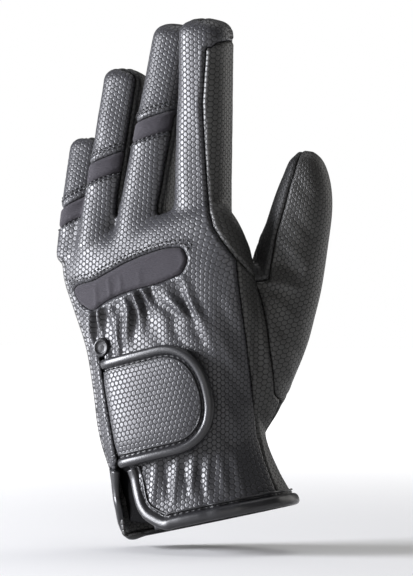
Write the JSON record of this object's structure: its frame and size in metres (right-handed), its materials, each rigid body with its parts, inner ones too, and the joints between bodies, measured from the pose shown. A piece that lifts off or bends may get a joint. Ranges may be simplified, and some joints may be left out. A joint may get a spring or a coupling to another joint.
{
  "type": "horse riding glove",
  "caption": "Left riding glove in worn shape: hollow hand with five finger stalls, stretch inserts, gathered wrist, bound cuff with a side slit and a round-ended wrist strap.",
  "frame": {"origin": "middle of the wrist opening, at the cuff", "axes": "+Z along the fingers, -Y out of the back of the hand, +X towards the thumb"},
  "size_m": [0.1283, 0.0563, 0.2329],
  "materials": {
    "back_leather": "embossed, semi-gloss",
    "side_leather": "embossed, satin",
    "fork_leather": "smooth, satin",
    "stretch_fabric": "fine knit, matt",
    "edging": "smooth, semi-gloss",
    "gusset_fabric": "matt"
  },
  "bodies": {
    "root": {"back_panel": "back_leather", "middle_tip": "back_leather", "ring_tip": "back_leather", "little_tip": "back_leather", "middle_band": "stretch_fabric", "ring_band": "stretch_fabric", "little_band": "stretch_fabric", "crescent_insert": "stretch_fabric", "palm_panel": "side_leather", "index_side": "side_leather", "thumb_strip": "side_leather", "thumb_panel": "side_leather", "thumb_side": "fork_leather", "fork_strip_little_ring": "fork_leather", "fork_strip_ring_middle": "fork_leather", "fork_strip_middle_index": "fork_leather", "cuff_binding": "edging", "strap_panel": "back_leather", "strap_binding": "edging", "slit_stay": "edging", "slit_gusset": "gusset_fabric"}
  },
  "joints": []
}
